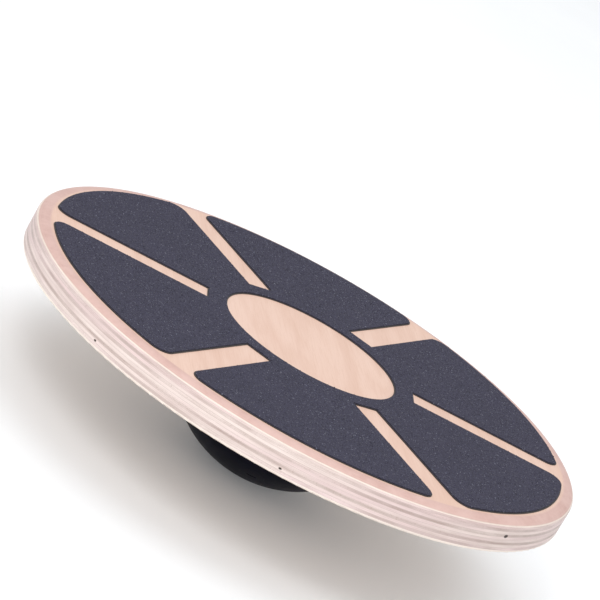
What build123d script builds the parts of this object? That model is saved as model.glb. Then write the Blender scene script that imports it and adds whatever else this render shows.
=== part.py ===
"""Round plywood balance board on a moulded dome.

The row frame has +Z up and its origin on the floor, below the centre of the board.
A cutout of the grip sheet, a bare wooden spoke, points along +X. Units are millimetres.
"""

from build123d import *
import os

# deck: a glued stack of veneers
deck_radius = 200.0
ply_count = 11
ply_thickness = 2.0
top_edge_run = 9.0
top_edge_drop = 4.0
bottom_edge_radius = 1.5

# dome: half an ellipsoid below the deck, cut off flat where it stands
dome_radius = 80.0
dome_curve_height = 76.0
dome_wall = 4.5
dome_height = 74.0
dome_lip_height = 2.5
dome_lip_overhang = 1.5
dome_lip_rounding = 1.0

# inside of the dome
cavity_floor = 9.0
rib_count = 6
rib_thickness = 3.0
hub_radius = 13.0
hub_bore_radius = 9.0

# fastenings, between the ribs
screw_count = 6
screw_circle_radius = 50.0
first_screw_angle = 30.0
boss_radius = 10.5
well_radius = 7.0
boss_floor_thickness = 8.0
cap_radius = 8.5
cap_clearance = 0.1
cap_seat_height = 24.0
cap_slot_length = 7.0
cap_slot_width = 1.2
cap_slot_top = 16.0
screw_radius = 3.0
screw_hole_radius = 3.3
screw_head_radius = 5.2
screw_head_height = 3.6
screw_head_edge_radius = 1.2
screw_socket_sides = 6
screw_socket_radius = 2.3
screw_socket_depth = 2.2
screw_tip_chamfer = 0.6
screw_tip_gap = 1.0
washer_radius = 6.2
washer_thickness = 1.2
insert_radius = 4.5
insert_bore_radius = 3.05
insert_flange_radius = 6.5
insert_flange_thickness = 1.0
insert_ply_count = 6

# rubber foot at the pole of the dome
foot_radius = 26.0
foot_clearance = 0.2
foot_thickness = 3.0
foot_adhesive_thickness = 0.2
tread_groove_radii = (5.0, 10.0, 15.0)
tread_groove_width = 1.4
tread_groove_depth = 0.8

# grip sheet: one die-cut ring with a slot over each bare spoke
grip_outer_radius = 189.0
grip_inner_radius = 62.5
spoke_count = 6
spoke_width = 19.0
spoke_start_radius = 77.0
grip_corner_radius = 10.0
grip_grit_margin = 0.8
grip_adhesive_thickness = 0.2
grip_backing_thickness = 0.4
grip_grit_thickness = 0.6

deck_bottom = dome_height
deck_thickness = ply_count * ply_thickness
deck_top = deck_bottom + deck_thickness
boss_floor = deck_bottom - boss_floor_thickness
insert_top = deck_bottom + insert_ply_count * ply_thickness

os.makedirs("parts", exist_ok=True)


def save(builder, name):
    """Label a finished piece and write it to its own file."""
    builder.part.label = name
    export_step(builder.part, f"parts/{name}.step")


def at_each_screw():
    """The places of the screws, between the ribs of the dome."""
    return PolarLocations(screw_circle_radius, screw_count, first_screw_angle)


def dome_section(reach, top):
    """Half of the dome's solid cross-section, out to a radius and up to a height."""
    with Locations((0, deck_bottom)):
        Ellipse(dome_radius, dome_curve_height)
    with Locations((reach / 2, top / 2)):
        Rectangle(reach, top, mode=Mode.INTERSECT)


# ---------------------------------------------------------------- deck plies
def ply_name(number):
    """Plies are numbered from the top, and the outer two are face veneers."""
    if number == 1:
        return "face_veneer_top"
    if number == ply_count:
        return "face_veneer_bottom"
    return f"core_ply_{number:02d}"


def make_ply(number):
    """One veneer, a disc that takes its share of the deck's shaped edge."""
    top = deck_top - (number - 1) * ply_thickness
    bottom = top - ply_thickness
    with BuildPart() as ply:
        with BuildSketch(Plane.XZ) as section:
            with Locations((deck_radius / 2, deck_bottom + deck_thickness / 2)):
                Rectangle(deck_radius, deck_thickness)
            # the top edge is eased by a quarter ellipse, wider than it is deep
            with Locations((deck_radius - top_edge_run / 2, deck_top - top_edge_drop / 2)):
                Rectangle(top_edge_run, top_edge_drop, mode=Mode.SUBTRACT)
            with Locations((deck_radius - top_edge_run, deck_top - top_edge_drop)):
                Ellipse(top_edge_run, top_edge_drop)
            bottom_corner = section.vertices().group_by(Axis.Y)[0].sort_by(Axis.X)[-1]
            fillet(bottom_corner, radius=bottom_edge_radius)
            with Locations((deck_radius / 2, (top + bottom) / 2)):
                Rectangle(deck_radius, ply_thickness, mode=Mode.INTERSECT)
        revolve(axis=Axis.Z)
        if bottom < insert_top:
            with BuildSketch(Plane.XY.offset(bottom)):
                with at_each_screw():
                    Circle(insert_radius)
            extrude(amount=ply_thickness, mode=Mode.SUBTRACT)
        if number == ply_count:
            with BuildSketch(Plane.XY.offset(bottom)):
                with at_each_screw():
                    Circle(insert_flange_radius)
            extrude(amount=insert_flange_thickness, mode=Mode.SUBTRACT)
    return ply


for ply_number in range(1, ply_count + 1):
    save(make_ply(ply_number), ply_name(ply_number))


# ---------------------------------------------------------------- grip sheet
def make_grip_layer(bottom, thickness, margin=0.0):
    """One layer of the grip sheet: a ring slotted over each bare spoke.

    The layer stops short of the sheet's cut edge by the margin.
    """
    slot_length = deck_radius - spoke_start_radius
    with BuildPart() as layer:
        with BuildSketch(Plane.XY.offset(bottom)) as outline:
            Circle(grip_outer_radius)
            Circle(grip_inner_radius, mode=Mode.SUBTRACT)
            with PolarLocations(spoke_start_radius + slot_length / 2, spoke_count):
                Rectangle(slot_length, spoke_width, mode=Mode.SUBTRACT)
            outer_corners = outline.vertices().filter_by(
                lambda corner: (corner.X**2 + corner.Y**2) ** 0.5 > spoke_start_radius + spoke_width
            )
            fillet(outer_corners, radius=grip_corner_radius)
            if margin > 0:
                offset(amount=-margin, kind=Kind.INTERSECTION)
        extrude(amount=thickness)
    return layer


grip_backing_bottom = deck_top + grip_adhesive_thickness
grip_grit_bottom = grip_backing_bottom + grip_backing_thickness
save(make_grip_layer(deck_top, grip_adhesive_thickness), "grip_adhesive")
save(make_grip_layer(grip_backing_bottom, grip_backing_thickness), "grip_backing")
grip_grit = make_grip_layer(grip_grit_bottom, grip_grit_thickness, grip_grit_margin)
save(grip_grit, "grip_grit")


# ---------------------------------------------------------------- dome shell
def cavity_body():
    """The hollow inside the dome, with the ribs, hub and bosses left out of it."""
    cavity_height = deck_bottom - cavity_floor
    with BuildPart() as cavity:
        with BuildSketch(Plane.XZ):
            with Locations((0, deck_bottom)):
                Ellipse(dome_radius - dome_wall, dome_curve_height - dome_wall)
            with Locations((dome_radius / 2, cavity_floor + cavity_height / 2)):
                Rectangle(dome_radius, cavity_height, mode=Mode.INTERSECT)
        revolve(axis=Axis.Z)
        with BuildSketch(Plane.XY.offset(cavity_floor)):
            with PolarLocations(dome_radius / 2, rib_count):
                Rectangle(dome_radius, rib_thickness)
            with at_each_screw():
                Circle(boss_radius)
            Circle(hub_radius)
            Circle(hub_bore_radius, mode=Mode.SUBTRACT)
        extrude(amount=cavity_height, mode=Mode.SUBTRACT)
    return cavity.part


with BuildPart() as dome_shell:
    with BuildSketch(Plane.XZ):
        dome_section(dome_radius, deck_bottom)
    revolve(axis=Axis.Z)
    # a narrow lip runs round the dome where it meets the deck
    with BuildSketch(Plane.XY.offset(deck_bottom - dome_lip_height)):
        Circle(dome_radius + dome_lip_overhang)
    extrude(amount=dome_lip_height)
    lip_corner = dome_shell.edges().filter_by(GeomType.CIRCLE).sort_by(SortBy.RADIUS)[-2:]
    fillet(lip_corner.sort_by(Axis.Z)[0], radius=dome_lip_rounding)
    add(cavity_body(), mode=Mode.SUBTRACT)
    # a well below each boss takes the screw head, and its wider mouth takes a cap
    with BuildSketch(Plane.XY):
        with at_each_screw():
            Circle(well_radius)
    extrude(amount=boss_floor, mode=Mode.SUBTRACT)
    with BuildSketch(Plane.XY):
        with at_each_screw():
            Circle(cap_radius)
    extrude(amount=cap_seat_height, mode=Mode.SUBTRACT)
    with BuildSketch(Plane.XY.offset(boss_floor)):
        with at_each_screw():
            Circle(screw_hole_radius)
    extrude(amount=boss_floor_thickness, mode=Mode.SUBTRACT)
    # a round recess at the pole takes the rubber foot
    with BuildSketch(Plane.XY):
        Circle(foot_radius)
    extrude(amount=foot_thickness + foot_adhesive_thickness, mode=Mode.SUBTRACT)
save(dome_shell, "dome_shell")


# ---------------------------------------------------------------- well caps
with BuildPart() as well_caps:
    with BuildSketch(Plane.XZ):
        dome_section(dome_radius, deck_bottom)
    revolve(axis=Axis.Z)
    with BuildSketch(Plane.XY):
        with at_each_screw():
            Circle(cap_radius - cap_clearance)
    extrude(amount=cap_seat_height, mode=Mode.INTERSECT)
    # a slot in the face of each cap lets it be prised out
    with BuildSketch(Plane.XY):
        with at_each_screw():
            Rectangle(cap_slot_width, cap_slot_length)
    extrude(amount=cap_slot_top, mode=Mode.SUBTRACT)
save(well_caps, "well_caps")


# ---------------------------------------------------------------- rubber foot
with BuildPart() as foot_pad:
    with BuildSketch(Plane.XZ):
        dome_section(foot_radius - foot_clearance, foot_thickness)
    revolve(axis=Axis.Z)
    with BuildSketch(Plane.XY):
        for groove_radius in tread_groove_radii:
            Circle(groove_radius + tread_groove_width / 2)
            Circle(groove_radius - tread_groove_width / 2, mode=Mode.SUBTRACT)
    extrude(amount=tread_groove_depth, mode=Mode.SUBTRACT)
save(foot_pad, "foot_pad")

with BuildPart() as foot_adhesive:
    with BuildSketch(Plane.XY.offset(foot_thickness)):
        Circle(foot_radius - foot_clearance)
    extrude(amount=foot_adhesive_thickness)
save(foot_adhesive, "foot_adhesive")


# ---------------------------------------------------------------- fastenings
screw_head_top = boss_floor - washer_thickness
screw_head_bottom = screw_head_top - screw_head_height
screw_tip = insert_top - screw_tip_gap

with BuildPart() as dome_screws:
    with BuildSketch(Plane.XY.offset(screw_head_bottom)):
        with at_each_screw():
            Circle(screw_head_radius)
    extrude(amount=screw_head_height)
    fillet(dome_screws.edges().group_by(Axis.Z)[0], radius=screw_head_edge_radius)
    with BuildSketch(Plane.XY.offset(screw_head_top)):
        with at_each_screw():
            Circle(screw_radius)
    extrude(amount=screw_tip - screw_head_top)
    chamfer(dome_screws.edges().group_by(Axis.Z)[-1], length=screw_tip_chamfer)
    with BuildSketch(Plane.XY.offset(screw_head_bottom)):
        with at_each_screw():
            RegularPolygon(screw_socket_radius, screw_socket_sides)
    extrude(amount=screw_socket_depth, mode=Mode.SUBTRACT)
save(dome_screws, "dome_screws")

with BuildPart() as dome_washers:
    with BuildSketch(Plane.XY.offset(screw_head_top)):
        with at_each_screw():
            Circle(washer_radius)
            Circle(screw_hole_radius, mode=Mode.SUBTRACT)
    extrude(amount=washer_thickness)
save(dome_washers, "dome_washers")

with BuildPart() as threaded_inserts:
    with BuildSketch(Plane.XY.offset(deck_bottom)):
        with at_each_screw():
            Circle(insert_flange_radius)
    extrude(amount=insert_flange_thickness)
    with BuildSketch(Plane.XY.offset(deck_bottom)):
        with at_each_screw():
            Circle(insert_radius)
    extrude(amount=insert_top - deck_bottom)
    with BuildSketch(Plane.XY.offset(deck_bottom)):
        with at_each_screw():
            Circle(insert_bore_radius)
    extrude(amount=insert_top - deck_bottom, mode=Mode.SUBTRACT)
save(threaded_inserts, "threaded_inserts")
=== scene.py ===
"""The looks of the round plywood balance board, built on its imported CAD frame.

Everything placed in the scene is in metres. Lengths inside the materials are in millimetres, and
the scale of a noise or of cells there is per millimetre.
"""

import math

import bpy
import numpy as np
from mathutils import Matrix, Vector


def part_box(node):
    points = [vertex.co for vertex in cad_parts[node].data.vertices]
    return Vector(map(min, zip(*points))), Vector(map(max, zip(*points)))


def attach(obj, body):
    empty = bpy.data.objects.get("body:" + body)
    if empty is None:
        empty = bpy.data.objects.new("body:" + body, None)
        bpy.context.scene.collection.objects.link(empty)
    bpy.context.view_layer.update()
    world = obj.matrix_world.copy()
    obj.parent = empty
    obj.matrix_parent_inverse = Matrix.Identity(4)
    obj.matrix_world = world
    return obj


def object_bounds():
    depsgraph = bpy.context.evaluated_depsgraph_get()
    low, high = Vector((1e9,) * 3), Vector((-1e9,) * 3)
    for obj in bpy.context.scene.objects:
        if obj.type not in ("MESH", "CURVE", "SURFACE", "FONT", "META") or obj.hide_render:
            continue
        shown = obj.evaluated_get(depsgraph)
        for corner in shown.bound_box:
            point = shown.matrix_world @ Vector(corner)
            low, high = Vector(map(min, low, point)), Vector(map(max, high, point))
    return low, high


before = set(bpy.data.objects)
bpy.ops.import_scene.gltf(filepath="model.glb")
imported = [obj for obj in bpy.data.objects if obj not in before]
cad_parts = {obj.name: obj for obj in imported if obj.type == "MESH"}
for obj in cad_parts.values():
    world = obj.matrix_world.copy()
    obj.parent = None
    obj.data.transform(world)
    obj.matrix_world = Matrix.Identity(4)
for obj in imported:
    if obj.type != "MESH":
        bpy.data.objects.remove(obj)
cad_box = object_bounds()

MM = 0.001
SCENE = bpy.context.scene
FLOOR_LEVEL = cad_box[0][2]
DECK_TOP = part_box("face_veneer_top")[1].z
DECK_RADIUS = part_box("core_ply_05")[1].x


# ---------------------------------------------------------------- node graph helper
class Graph:
    """A material's node tree with short calls for the nodes that the materials share."""

    def __init__(self, name):
        self.material = bpy.data.materials.new(name)
        self.material.use_nodes = True
        self.tree = self.material.node_tree
        self.tree.nodes.clear()
        output = self.tree.nodes.new("ShaderNodeOutputMaterial")
        self.surface = self.tree.nodes.new("ShaderNodeBsdfPrincipled")
        self.tree.links.new(self.surface.outputs[0], output.inputs["Surface"])
        coordinates = self.tree.nodes.new("ShaderNodeTexCoord")
        self.position = self.vector_math("SCALE", coordinates.outputs["Object"], scale=1 / MM)
        self.xyz = self.add("ShaderNodeSeparateXYZ", Vector=self.position).outputs
        flat = self.add("ShaderNodeCombineXYZ", X=self.xyz[0], Y=self.xyz[1]).outputs[0]
        self.radius = self.vector_math("LENGTH", flat)

    def add(self, kind, settings=None, **values):
        """Add a node. Values are constants or sockets, by input name with _ for a space."""
        made = self.tree.nodes.new(kind)
        for key, value in (settings or {}).items():
            setattr(made, key, value)
        for key, value in values.items():
            self.feed(made.inputs[key.replace("_", " ")], value)
        return made

    def feed(self, socket, value):
        """Link a socket into an input, or set the input's value."""
        if isinstance(value, bpy.types.NodeSocket):
            self.tree.links.new(value, socket)
        else:
            socket.default_value = value

    def vector_math(self, operation, a, b=None, scale=None):
        """The vector that a Vector Math node gives, or the value where the operation is LENGTH."""
        made = self.add("ShaderNodeVectorMath", {"operation": operation})
        self.feed(made.inputs[0], a)
        if b is not None:
            self.feed(made.inputs[1], b)
        if scale is not None:
            made.inputs["Scale"].default_value = scale
        return made.outputs["Value" if operation == "LENGTH" else "Vector"]

    def math(self, operation, a, b):
        """The value that a Math node gives."""
        made = self.add("ShaderNodeMath", {"operation": operation})
        self.feed(made.inputs[0], a)
        self.feed(made.inputs[1], b)
        return made.outputs[0]

    def step(self, value, low, high, to_low=0.0, to_high=1.0):
        """A smooth step from to_low to to_high as the value goes from low to high."""
        made = self.add("ShaderNodeMapRange", {"interpolation_type": "SMOOTHSTEP"})
        for socket, number in zip(made.inputs, (value, low, high, to_low, to_high)):
            self.feed(socket, number)
        return made.outputs[0]

    def mix(self, factor, a, b):
        """Colour a where the factor is 0, and colour b where it is 1."""
        made = self.add("ShaderNodeMix", {"data_type": "RGBA"})
        colour_sockets = [socket for socket in made.inputs if socket.type == "RGBA"]
        for socket, value in zip((made.inputs[0], *colour_sockets), (factor, a, b)):
            self.feed(socket, value)
        return next(socket for socket in made.outputs if socket.type == "RGBA")

    def tint(self, colour, other, value, low, high, strength=1.0):
        """A colour that turns into another, up to a strength, as the value goes from low to high."""
        return self.mix(self.step(value, low, high, 0.0, strength), colour, other)

    def stretch(self, scales, turn=0.0):
        """The position, turned about Z and scaled along each axis."""
        turned = self.add("ShaderNodeMapping", Vector=self.position)
        turned.inputs["Rotation"].default_value = (0.0, 0.0, turn)
        return self.vector_math("MULTIPLY", turned.outputs[0], scales)

    def noise(self, vector, scale=1.0, detail=2.0, roughness=0.5, distortion=0.0):
        """Smooth noise, mostly between 0.3 and 0.7."""
        made = self.add(
            "ShaderNodeTexNoise",
            Vector=vector,
            Scale=scale,
            Detail=detail,
            Roughness=roughness,
            Distortion=distortion,
        )
        return made.outputs[0]

    def cells(self, vector, scale):
        """Irregular cells: the distance to a cell's middle, and a random colour for each cell."""
        made = self.add("ShaderNodeTexVoronoi", Vector=vector, Scale=scale)
        return made.outputs["Distance"], made.outputs["Color"]

    def bump(self, height, depth):
        """Bump that stands depth proud where the height is 1."""
        return self.add("ShaderNodeBump", Height=height, Distance=depth * MM, Strength=1.0).outputs[0]

    def finish(self, **values):
        """Set the surface shader's inputs and return the material."""
        for key, value in values.items():
            self.feed(self.surface.inputs[key.replace("_", " ")], value)
        return self.material


def grey(value):
    """A neutral colour."""
    return (value, value, value, 1.0)


# ---------------------------------------------------------------- wood
# each face veneer's pale and warm tone, and the top one's tone where the edge is cut through it
TOP_VENEER = ((0.75, 0.53, 0.435, 1.0), (0.69, 0.465, 0.37, 1.0), (0.63, 0.425, 0.38, 1.0))
BOTTOM_VENEER = ((0.76, 0.64, 0.55, 1.0), (0.70, 0.56, 0.46, 1.0))
VENEER_FLECK = (0.55, 0.33, 0.22, 1.0)
CUT_SHADE = (0.50, 0.29, 0.25, 1.0)
# pale cream painted along the deck's edges as their highlight, on both face veneers and the second ply
EDGE_HIGHLIGHT_TONE = (0.86, 0.75, 0.67, 1.0)

# the veneer's grain: its line, the scales of its marks along it and across it, and their strengths
GRAIN_TURN = math.radians(24.0)
FIGURE_SCALES = (0.006, 0.05, 0.05)
FIBRE_SCALES = (0.045, 1.6, 1.6)
FLECK_SCALES = (0.22, 2.6, 2.6)
PATCH_SCALE = 0.012
PATCH_STRENGTH = 0.35
FIBRE_STRENGTH = 0.34
FLECK_STRENGTH = 0.42
FLECK_HEIGHT = -0.6
GRAIN_DEPTH = 0.035
VENEER_ROUGHNESS = (0.42, 0.56)

# radii between which a veneer turns to its cut tone, and between which it turns to the pale rim, a
# painted highlight along the edge
CUT_BAND = (DECK_RADIUS / MM - 10.4, DECK_RADIUS / MM - 8.0)
EDGE_HIGHLIGHT_RADII = (DECK_RADIUS / MM - 1.6, DECK_RADIUS / MM - 0.9)
CUT_RING_SCALE = 1.1
CUT_MOTTLE_SCALES = (0.05, 0.05, 0.0)
CUT_SHADE_STRENGTH = 0.75


def wood_grain(graph, turn, pale, warm):
    """Colour and height of a smooth sanded veneer face whose grain runs along one line."""
    figure = graph.noise(graph.stretch(FIGURE_SCALES, turn), detail=3.0, roughness=0.55, distortion=1.2)
    fibres = graph.noise(graph.stretch(FIBRE_SCALES, turn), detail=4.0, roughness=0.65)
    flecks = graph.noise(graph.stretch(FLECK_SCALES, turn), detail=1.0, roughness=0.4)
    patches = graph.noise(graph.position, PATCH_SCALE)
    colour = graph.tint(pale, warm, figure, 0.35, 0.68)
    colour = graph.tint(colour, warm, patches, 0.3, 0.75, PATCH_STRENGTH)
    colour = graph.tint(colour, VENEER_FLECK, fibres, 0.42, 0.78, FIBRE_STRENGTH)
    colour = graph.tint(colour, VENEER_FLECK, flecks, 0.66, 0.78, FLECK_STRENGTH)
    height = graph.math("ADD", fibres, graph.math("MULTIPLY", flecks, FLECK_HEIGHT))
    return colour, height


def cut_veneer(graph, cut_tone):
    """Colour of a veneer that is cut at a slant, with rings round the deck and a mottle."""
    rings = graph.add("ShaderNodeCombineXYZ", X=graph.math("MULTIPLY", graph.radius, CUT_RING_SCALE))
    streaks = graph.noise(rings.outputs[0], detail=1.0)
    along = graph.vector_math("MULTIPLY", graph.position, CUT_MOTTLE_SCALES)
    mottle = graph.noise(along, detail=5.0, roughness=0.7)
    shade = graph.math("MULTIPLY", graph.step(mottle, 0.35, 0.7), graph.step(streaks, 0.2, 0.7, 0.4, 1.0))
    return graph.mix(graph.math("MULTIPLY", shade, CUT_SHADE_STRENGTH), cut_tone, CUT_SHADE)


def face_veneer_material(name, turn, pale, warm, cut_tone=None):
    """A face veneer: bare lacquered wood, with its own tone where an eased edge cuts through it."""
    graph = Graph(name)
    colour, height = wood_grain(graph, turn, pale, warm)
    if cut_tone:
        colour = graph.tint(colour, cut_veneer(graph, cut_tone), graph.radius, *CUT_BAND)
    # the pale cream line at the rim is a painted highlight along the edge
    colour = graph.tint(colour, EDGE_HIGHLIGHT_TONE, graph.radius, *EDGE_HIGHLIGHT_RADII)
    return graph.finish(
        Base_Color=colour,
        Roughness=graph.step(height, 0.0, 0.8, *VENEER_ROUGHNESS),
        Specular_IOR_Level=0.4,
        Coat_Weight=0.12,
        Coat_Roughness=0.3,
        Normal=graph.bump(height, GRAIN_DEPTH),
    )


# how dark each core ply's edge is, from 0 to 1. The top veneer is the first ply
PLY_DARKNESS = {2: 0.3, 3: 0.6, 4: 0.05, 5: 0.65, 6: 0.1, 7: 0.15, 8: 0.9, 9: 0.15, 10: 0.45}
PLY_LIGHT = (0.83, 0.71, 0.665, 1.0)
PLY_ROSE = (0.79, 0.63, 0.615, 1.0)
PLY_DARK = (0.42, 0.32, 0.29, 1.0)
PLY_STREAK = (0.34, 0.22, 0.17, 1.0)
GLUE_LINE = (0.24, 0.15, 0.11, 1.0)
GLUE_LINE_HALF = 0.2

# marks in a ply's edge: their scales round the edge and up it, and the shift from ply to ply
STREAK_SCALES = (0.03, 0.03, 4.0)
THREAD_SCALES = (0.3, 0.3, 4.5)
HAIR_SCALES = (0.022, 0.022, 8.0)
DRIFT_SCALE = 0.02
BLUSH_SCALE = 0.013
WANDER_SCALE = 0.03
WANDER_REACH = 0.9
PORE_SCALE = 1.3
PLY_SHIFT = Vector((31.0, 17.0, 0.0))
HAIR_STRENGTH = 0.42
EDGE_DEPTH = 0.05
EDGE_ROUGHNESS = (0.45, 0.62)

# height above its own bottom at which the second ply turns into the cream band under the veneer, the
# lower part of the painted highlight along the top edge
PLY_TWO_HIGHLIGHT_HEIGHTS = (1.1, 1.7)

# pin knots in the edge: azimuth in degrees, height and radius
PIN_KNOTS = (
    (15.0, 86.6, 0.9),
    (-34.0, 79.2, 0.5),
    (-75.0, 78.9, 0.5),
    (62.0, 83.1, 0.5),
    (128.0, 89.2, 0.6),
    (-162.0, 81.0, 0.45),
)
KNOT = (0.035, 0.02, 0.014, 1.0)
KNOT_HALO = 1.6
KNOT_SCALES = (0.6, 0.6, 1.0)


def edge_point(azimuth, height):
    """A point on the deck's edge, in millimetres."""
    turn = math.radians(azimuth)
    radius = DECK_RADIUS / MM
    return (radius * math.cos(turn), radius * math.sin(turn), height)


def add_pin_knots(graph, colour, low, high):
    """Paint the pin knots that reach in between two heights. Each is longer round the edge."""
    for azimuth, height, radius in PIN_KNOTS:
        halo = KNOT_HALO * radius
        if low - halo < height < high + halo:
            offset = graph.vector_math("SUBTRACT", graph.position, edge_point(azimuth, height))
            reach = graph.vector_math("LENGTH", graph.vector_math("MULTIPLY", offset, KNOT_SCALES))
            colour = graph.mix(graph.step(reach, radius, halo, 1.0, 0.0), colour, KNOT)
    return colour


def core_ply_material(number, node):
    """A core ply. Only its sawn and sanded edge shows, as a band with fine streaks along it."""
    graph = Graph(f"ply_edge_{number:02d}")
    low, high = (corner.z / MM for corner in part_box(node))
    darkness = PLY_DARKNESS[number]
    place = graph.vector_math("ADD", graph.position, number * PLY_SHIFT)
    streaks = graph.noise(graph.vector_math("MULTIPLY", place, STREAK_SCALES), detail=4.0, roughness=0.6)
    threads = graph.noise(graph.vector_math("MULTIPLY", place, THREAD_SCALES), roughness=0.6)
    hairs = graph.noise(graph.vector_math("MULTIPLY", place, HAIR_SCALES), detail=3.0, roughness=0.6)
    drift = graph.noise(place, DRIFT_SCALE, detail=3.0, roughness=0.6)
    blush = graph.noise(place, BLUSH_SCALE)
    wander = graph.noise(place, WANDER_SCALE)
    pores = graph.noise(place, PORE_SCALE, detail=1.0)

    above = graph.math("SUBTRACT", graph.xyz[2], low)
    to_glue = graph.math("MINIMUM", above, graph.math("SUBTRACT", high, graph.xyz[2]))
    into_ply = graph.math("ADD", to_glue, graph.math("MULTIPLY", wander, WANDER_REACH))
    core = graph.step(into_ply, 0.3, 1.1, 0.35, 1.0)
    tone = graph.step(drift, 0.3, 0.7, max(darkness - 0.55, 0.0), min(darkness + 0.2, 1.0))

    light = graph.tint(PLY_LIGHT, PLY_ROSE, blush, 0.35, 0.65)
    light = graph.tint(light, PLY_STREAK, hairs, 0.57, 0.66, HAIR_STRENGTH)
    colour = graph.mix(graph.math("MULTIPLY", tone, core), light, PLY_DARK)
    if number == 2:
        # painted highlight: the cream band carries the edge's highlight line down from the veneer
        colour = graph.tint(colour, EDGE_HIGHLIGHT_TONE, above, *PLY_TWO_HIGHLIGHT_HEIGHTS)
    streak_strength = 0.2 + 0.4 * darkness
    colour = graph.tint(colour, PLY_STREAK, streaks, 0.42, 0.75, streak_strength)
    colour = graph.tint(colour, PLY_STREAK, threads, 0.5, 0.8, streak_strength / 2)
    colour = graph.tint(colour, PLY_STREAK, pores, 0.58, 0.75, darkness / 2)
    colour = graph.mix(graph.step(to_glue, 0.0, GLUE_LINE_HALF, 0.4, 0.0), colour, GLUE_LINE)
    return graph.finish(
        Base_Color=add_pin_knots(graph, colour, low, high),
        Roughness=graph.step(threads, 0.3, 0.8, *EDGE_ROUGHNESS),
        Specular_IOR_Level=0.35,
        Normal=graph.bump(graph.math("ADD", threads, streaks), EDGE_DEPTH),
    )


# ---------------------------------------------------------------- grip sheet
GRIT_DARK = (0.016, 0.015, 0.031, 1.0)
GRIT_MID = (0.044, 0.041, 0.078, 1.0)
GRIT_BLUE = (0.062, 0.064, 0.11, 1.0)
GRIT_SPECK = (0.24, 0.26, 0.35, 1.0)
GRIT_CELL_SCALE = 1.5
GRIT_FINE_SCALE = 2.4
GRIT_GRAIN_SCALE = 0.75
GRIT_PATCH_SCALE = 0.02
GRIT_PIT_HEIGHT = -0.8
GRIT_DEPTH = 0.35
SPECK_CHANCE = 0.988
FILM_TONES = (grey(0.018), (0.04, 0.034, 0.036, 1.0))
FILM_SCALE = 1.8
FILM_DEPTH = 0.03


def grit_material():
    """The grit coat between its crystals: a rough dark slate crust with pale mineral specks."""
    graph = Graph("grip_grit")
    distance, random = graph.cells(graph.position, GRIT_CELL_SCALE)
    chance = graph.add("ShaderNodeSeparateColor", Color=random).outputs[0]
    fine = graph.noise(graph.position, GRIT_FINE_SCALE, detail=3.0, roughness=0.7)
    grain = graph.noise(graph.position, GRIT_GRAIN_SCALE, roughness=0.6)
    patches = graph.noise(graph.position, GRIT_PATCH_SCALE, detail=3.0, roughness=0.6)
    colour = graph.tint(GRIT_DARK, GRIT_MID, fine, 0.3, 0.75)
    colour = graph.tint(colour, GRIT_BLUE, grain, 0.52, 0.68, 0.75)
    colour = graph.tint(colour, GRIT_MID, patches, 0.35, 0.75, 0.25)
    colour = graph.tint(colour, GRIT_SPECK, chance, SPECK_CHANCE, 1.0, 0.7)
    height = graph.math("ADD", graph.math("MULTIPLY", distance, GRIT_PIT_HEIGHT), fine)
    return graph.finish(
        Base_Color=colour,
        Roughness=graph.step(chance, 0.9, 1.0, 0.88, 0.35),
        Specular_IOR_Level=0.45,
        Normal=graph.bump(height, GRIT_DEPTH),
    )


def crystal_material():
    """Grit crystals: mostly near-black, a few of them pale."""
    graph = Graph("grip_crystals")
    chance = graph.add("ShaderNodeNewGeometry").outputs["Random Per Island"]
    colour = graph.tint(GRIT_DARK, GRIT_MID, chance, 0.2, 0.9)
    colour = graph.tint(colour, GRIT_SPECK, chance, SPECK_CHANCE, 0.996)
    return graph.finish(
        Base_Color=colour,
        Roughness=graph.step(chance, 0.9, 1.0, 0.6, 0.25),
        Specular_IOR_Level=0.5,
    )


def film_material():
    """Dark film and adhesive. The sheet's own show as a thin line round the grit."""
    graph = Graph("grip_film")
    fine = graph.noise(graph.position, FILM_SCALE, roughness=0.6)
    return graph.finish(
        Base_Color=graph.tint(*FILM_TONES, fine, 0.3, 0.7),
        Roughness=graph.step(fine, 0.3, 0.7, 0.5, 0.7),
        Normal=graph.bump(fine, FILM_DEPTH),
    )


# ---------------------------------------------------------------- plastic, rubber, metal
DOME_TONES = ((0.002, 0.0022, 0.008, 1.0), (0.004, 0.0044, 0.012, 1.0))
DOME_SCUFF = grey(0.05)
DOME_TEXTURE_SCALE = 2.2
DOME_TEXTURE_DEPTH = 0.03
DOME_HAZE_SCALE = 0.05
SCUFF_SCALES = (0.25, 0.25, 3.5)
SCUFF_HEIGHTS = (4.0, 34.0)
RUBBER_TONES = (grey(0.022), (0.075, 0.07, 0.064, 1.0))
RUBBER_SCALE = 1.2
RUBBER_DEPTH = 0.06
DUST_SCALE = 0.12
STEEL_TONES = (grey(0.62), grey(0.45))
BRASS_TONES = ((0.72, 0.5, 0.2, 1.0), (0.5, 0.33, 0.13, 1.0))
MARK_SCALES = (0.8, 0.8, 6.0)
MARK_DEPTH = 0.01
STAIN_SCALE = 0.4


def dome_material():
    """Moulded black plastic with a fine eroded texture, scuffed lightly where it rolls."""
    graph = Graph("dome_plastic")
    texture = graph.noise(graph.position, DOME_TEXTURE_SCALE, roughness=0.55)
    haze = graph.noise(graph.position, DOME_HAZE_SCALE, detail=3.0, roughness=0.6)
    scuffs = graph.noise(graph.stretch(SCUFF_SCALES), detail=5.0, roughness=0.7, distortion=0.6)
    low_part = graph.step(graph.xyz[2], *SCUFF_HEIGHTS, 1.0, 0.0)
    scuff = graph.math("MULTIPLY", graph.step(scuffs, 0.6, 0.72), low_part)
    colour = graph.tint(*DOME_TONES, haze, 0.3, 0.75)
    haze_roughness = graph.step(haze, 0.25, 0.8, 0.34, 0.44)
    return graph.finish(
        Base_Color=graph.mix(graph.math("MULTIPLY", scuff, 0.35), colour, DOME_SCUFF),
        Roughness=graph.math("ADD", haze_roughness, graph.math("MULTIPLY", scuff, 0.18)),
        Specular_IOR_Level=0.04,
        Normal=graph.bump(texture, DOME_TEXTURE_DEPTH),
    )


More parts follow.
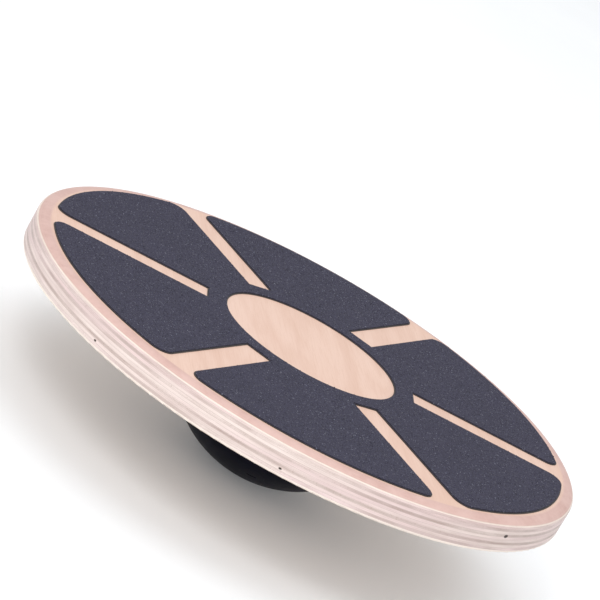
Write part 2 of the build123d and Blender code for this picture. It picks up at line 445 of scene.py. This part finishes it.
def rubber_material():
    """Dark grey rubber, dusty in patches."""
    graph = Graph("foot_rubber")
    fine = graph.noise(graph.position, RUBBER_SCALE, detail=3.0, roughness=0.6)
    dust = graph.noise(graph.position, DUST_SCALE, detail=3.0, roughness=0.65)
    return graph.finish(
        Base_Color=graph.tint(*RUBBER_TONES, dust, 0.4, 0.75),
        Roughness=graph.step(dust, 0.3, 0.8, 0.72, 0.9),
        Specular_IOR_Level=0.3,
        Normal=graph.bump(fine, RUBBER_DEPTH),
    )


def metal_material(name, light, dark, roughness):
    """Plated or turned metal with fine marks."""
    graph = Graph(name)
    marks = graph.noise(graph.stretch(MARK_SCALES), detail=4.0, roughness=0.6)
    stain = graph.noise(graph.position, STAIN_SCALE)
    return graph.finish(
        Base_Color=graph.tint(light, dark, stain, 0.35, 0.7),
        Metallic=1.0,
        Roughness=graph.step(marks, 0.3, 0.7, roughness - 0.08, roughness + 0.1),
        Normal=graph.bump(marks, MARK_DEPTH),
    )


# ---------------------------------------------------------------- materials onto the CAD nodes
def paint(node, material):
    """Give a CAD node its material in every slot."""
    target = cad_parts[node]
    if not target.material_slots:
        target.data.materials.append(material)
    for slot in target.material_slots:
        slot.material = material


FACE_VENEERS = {
    "face_veneer_top": (GRAIN_TURN, *TOP_VENEER),
    "face_veneer_bottom": (GRAIN_TURN + math.pi, *BOTTOM_VENEER),
}
for veneer_node, veneer in FACE_VENEERS.items():
    paint(veneer_node, face_veneer_material(veneer_node, *veneer))
for ply_number in PLY_DARKNESS:
    ply_node = f"core_ply_{ply_number:02d}"
    paint(ply_node, core_ply_material(ply_number, ply_node))
film = film_material()
plastic = dome_material()
steel = metal_material("screw_steel", *STEEL_TONES, roughness=0.32)
brass = metal_material("insert_brass", *BRASS_TONES, roughness=0.35)
for film_node in ("grip_backing", "grip_adhesive", "foot_adhesive"):
    paint(film_node, film)
for plastic_node in ("dome_shell", "well_caps"):
    paint(plastic_node, plastic)
for steel_node in ("dome_screws", "dome_washers"):
    paint(steel_node, steel)
paint("grip_grit", grit_material())
paint("foot_pad", rubber_material())
paint("threaded_inserts", brass)


# ---------------------------------------------------------------- grit crystals
CRYSTAL_COUNT = 22000
CRYSTAL_RADIUS = (0.22 * MM, 0.48 * MM)
CRYSTAL_STRETCH = (0.7, 1.25)
CRYSTAL_SEED = 7
FLATNESS = 0.001 * MM


def top_triangles(node):
    """Corners of the triangles on a node's flat top, as an array of shape (n, 3, 3)."""
    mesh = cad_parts[node].data
    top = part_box(node)[1].z
    mesh.calc_loop_triangles()
    found = []
    for triangle in mesh.loop_triangles:
        corners = [mesh.vertices[i].co for i in triangle.vertices]
        if all(abs(corner.z - top) < FLATNESS for corner in corners):
            found.append(corners)
    return np.array(found)


def scatter(triangles, count, generator):
    """Points spread evenly over triangles."""
    edge_a = triangles[:, 1] - triangles[:, 0]
    edge_b = triangles[:, 2] - triangles[:, 0]
    area = np.linalg.norm(np.cross(edge_a, edge_b), axis=1)
    chosen = generator.choice(len(triangles), count, p=area / area.sum())
    u, v = generator.random((2, count, 1))
    outside = u + v > 1
    u = np.where(outside, 1 - u, u)
    v = np.where(outside, 1 - v, v)
    return triangles[chosen, 0] + u * edge_a[chosen] + v * edge_b[chosen]


def random_turns(count, generator):
    """Rotation matrices from random unit quaternions."""
    q = generator.normal(size=(count, 4))
    q /= np.linalg.norm(q, axis=1, keepdims=True)
    w, x, y, z = q.T
    rows = [
        [1 - 2 * (y * y + z * z), 2 * (x * y - z * w), 2 * (x * z + y * w)],
        [2 * (x * y + z * w), 1 - 2 * (x * x + z * z), 2 * (y * z - x * w)],
        [2 * (x * z - y * w), 2 * (y * z + x * w), 1 - 2 * (x * x + y * y)],
    ]
    return np.array(rows).transpose(2, 0, 1)


def make_crystals():
    """Small eight-sided crystals half sunk into the grit coat."""
    generator = np.random.default_rng(CRYSTAL_SEED)
    centres = scatter(top_triangles("grip_grit"), CRYSTAL_COUNT, generator)
    corners = np.array([(1, 0, 0), (-1, 0, 0), (0, 1, 0), (0, -1, 0), (0, 0, 1), (0, 0, -1)])
    upper_sides = [(0, 2, 4), (2, 1, 4), (1, 3, 4), (3, 0, 4)]
    lower_sides = [(2, 0, 5), (1, 2, 5), (3, 1, 5), (0, 3, 5)]
    sides = np.array(upper_sides + lower_sides)
    radii = generator.uniform(*CRYSTAL_RADIUS, (CRYSTAL_COUNT, 1, 1))
    stretches = generator.uniform(*CRYSTAL_STRETCH, (CRYSTAL_COUNT, len(corners), 1))
    shapes = corners[None] * radii * stretches
    turned = np.einsum("nij,nkj->nki", random_turns(CRYSTAL_COUNT, generator), shapes)
    points = (turned + centres[:, None]).reshape(-1, 3)
    first_corners = len(corners) * np.arange(CRYSTAL_COUNT)[:, None, None]
    faces = (sides[None] + first_corners).reshape(-1, 3)
    mesh = bpy.data.meshes.new("grip_crystals")
    mesh.from_pydata(points.tolist(), [], faces.tolist())
    mesh.materials.append(crystal_material())
    crystals = bpy.data.objects.new("grip_crystals", mesh)
    SCENE.collection.objects.link(crystals)
    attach(crystals, "root")


make_crystals()


# ---------------------------------------------------------------- floor, light and camera
FLOOR_HALF_WIDTH = 30.0 * DECK_RADIUS
FLOOR_TONES = ((0.84, 0.86, 0.88, 1.0), (0.86, 0.88, 0.90, 1.0))
FLOOR_SCALE = 0.004
FLOOR_GLOW = 0.10

# each softbox's azimuth and elevation in degrees, its distance and width, and its power in watts
SOFTBOXES = {
    "key": (-60.0, 42.0, 2.6, 0.8, 18.0),
    "fill": (-40.0, 16.0, 3.0, 2.0, 16.0),
    "overhead": (130.0, 78.0, 3.6, 5.0, 80.0),
}
WHITE = grey(1.0)
WORLD_STRENGTH = 0.66

CAMERA_AZIMUTH = -39.9
CAMERA_ELEVATION = 16.3
CAMERA_ROLL = 29.9
CAMERA_DISTANCE = 10.0 * DECK_RADIUS
CAMERA_LENS = 183.0
AIM_RIGHT = -0.107 * DECK_RADIUS
AIM_UP = 0.114 * DECK_RADIUS
DECK_CENTRE = Vector((0.0, 0.0, DECK_TOP))


def direction(azimuth, elevation):
    """A unit vector towards an azimuth and an elevation, in degrees."""
    turn = math.radians(azimuth)
    rise = math.radians(elevation)
    level = math.cos(rise)
    return Vector((level * math.cos(turn), level * math.sin(turn), math.sin(rise)))


def make_floor():
    """A wide, pale, matt floor that glows a little, as a studio light table does."""
    graph = Graph("floor")
    tone = graph.noise(graph.position, FLOOR_SCALE, detail=3.0)
    material = graph.finish(
        Base_Color=graph.tint(*FLOOR_TONES, tone, 0.3, 0.7),
        Roughness=0.9,
        Specular_IOR_Level=0.1,
        Emission_Color=WHITE,
        Emission_Strength=FLOOR_GLOW,
    )
    signs = ((-1, -1), (1, -1), (1, 1), (-1, 1))
    corners = [(FLOOR_HALF_WIDTH * x, FLOOR_HALF_WIDTH * y, FLOOR_LEVEL) for x, y in signs]
    mesh = bpy.data.meshes.new("floor")
    mesh.from_pydata(corners, [], [(0, 1, 2, 3)])
    mesh.materials.append(material)
    floor = bpy.data.objects.new("floor", mesh)
    SCENE.collection.objects.link(floor)


def make_softbox(name, azimuth, elevation, distance, width, power):
    """A large square area light that points at the board."""
    data = bpy.data.lights.new(name, "AREA")
    data.shape = "SQUARE"
    data.size = width
    data.energy = power
    lamp = bpy.data.objects.new(name, data)
    lamp.location = DECK_CENTRE + distance * direction(azimuth, elevation)
    lamp.rotation_euler = (DECK_CENTRE - lamp.location).to_track_quat("-Z", "Y").to_euler()
    SCENE.collection.objects.link(lamp)


def make_world():
    """Even white surroundings."""
    world = bpy.data.worlds.new("studio")
    world.use_nodes = True
    background = world.node_tree.nodes["Background"]
    background.inputs["Color"].default_value = WHITE
    background.inputs["Strength"].default_value = WORLD_STRENGTH
    SCENE.world = world


def make_camera():
    """A long lens at the view's azimuth and elevation, rolled about its own axis."""
    data = bpy.data.cameras.new("camera")
    data.lens = CAMERA_LENS
    camera = bpy.data.objects.new("camera", data)
    to_front = direction(CAMERA_AZIMUTH, CAMERA_ELEVATION)
    to_right = direction(CAMERA_AZIMUTH + 90.0, 0.0)
    to_up = to_front.cross(to_right)
    camera.location = DECK_CENTRE + CAMERA_DISTANCE * to_front
    target = DECK_CENTRE + AIM_RIGHT * to_right + AIM_UP * to_up
    upright = (target - camera.location).to_track_quat("-Z", "Y").to_matrix()
    roll = Matrix.Rotation(math.radians(CAMERA_ROLL), 3, "Z")
    camera.rotation_euler = (upright @ roll).to_euler()
    SCENE.collection.objects.link(camera)
    SCENE.camera = camera


make_floor()
for softbox_name, softbox in SOFTBOXES.items():
    make_softbox(softbox_name, *softbox)
make_world()
make_camera()
SCENE.view_settings.view_transform = "Standard"
